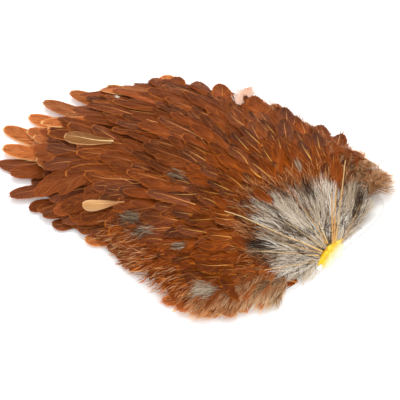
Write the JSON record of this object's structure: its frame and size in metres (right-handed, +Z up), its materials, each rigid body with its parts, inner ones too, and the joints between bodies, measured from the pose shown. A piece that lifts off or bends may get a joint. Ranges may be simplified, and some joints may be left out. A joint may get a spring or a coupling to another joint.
{
  "type": "hen saddle hackle",
  "caption": "Dried patch of hen saddle skin, lying flat, with overlapping chestnut feathers that fan back from its yellow front tip and grey down at the cut front.",
  "frame": {"origin": "on the surface that the patch lies on, under the middle of its outline", "axes": "+X towards the cut front edge of the skin, -X towards the tips of the rearmost feathers, +Z up out of the feathers"},
  "size_m": [0.1839, 0.138, 0.0247],
  "materials": {
    "chestnut_feather": "satin feather vane, chestnut to ginger with golden shafts",
    "grey_down": "matt grey-white down with dark streaks",
    "dried_skin": "dried translucent skin, waxy yellow",
    "cream_feather": "satin feather vane, cream"
  },
  "bodies": {
    "root": {"skin": "dried_skin", "feather_coat": "chestnut_feather", "front_down": "grey_down", "cream_feather": "cream_feather", "rim_feather_01": "chestnut_feather", "rim_feather_02": "chestnut_feather", "rim_feather_03": "chestnut_feather", "rim_feather_04": "chestnut_feather", "rim_feather_05": "chestnut_feather", "rim_feather_06": "chestnut_feather", "rim_feather_07": "chestnut_feather", "rim_feather_08": "chestnut_feather", "rim_feather_09": "chestnut_feather", "rim_feather_10": "chestnut_feather", "rim_feather_11": "chestnut_feather", "rim_feather_12": "chestnut_feather", "rim_feather_13": "chestnut_feather", "rim_feather_14": "chestnut_feather", "rim_feather_15": "chestnut_feather", "rim_feather_16": "chestnut_feather", "rim_feather_17": "chestnut_feather", "rim_feather_18": "chestnut_feather", "rim_feather_19": "chestnut_feather", "rim_feather_20": "chestnut_feather", "rim_feather_21": "chestnut_feather", "rim_feather_22": "chestnut_feather", "rim_feather_23": "chestnut_feather", "rim_feather_24": "chestnut_feather", "rim_feather_25": "chestnut_feather", "rim_feather_26": "chestnut_feather", "rim_feather_27": "chestnut_feather", "rim_feather_28": "chestnut_feather", "rim_feather_29": "chestnut_feather", "rim_feather_30": "chestnut_feather", "rim_feather_31": "chestnut_feather", "rim_feather_32": "chestnut_feather", "rim_feather_33": "chestnut_feather", "rim_feather_34": "chestnut_feather", "rim_feather_35": "chestnut_feather", "rim_feather_36": "chestnut_feather", "rim_feather_37": "chestnut_feather", "rim_feather_38": "chestnut_feather", "rim_feather_39": "chestnut_feather", "rim_feather_40": "chestnut_feather", "rim_feather_41": "chestnut_feather", "rim_feather_42": "chestnut_feather", "rim_feather_43": "chestnut_feather", "rim_feather_44": "chestnut_feather"}
  },
  "joints": []
}
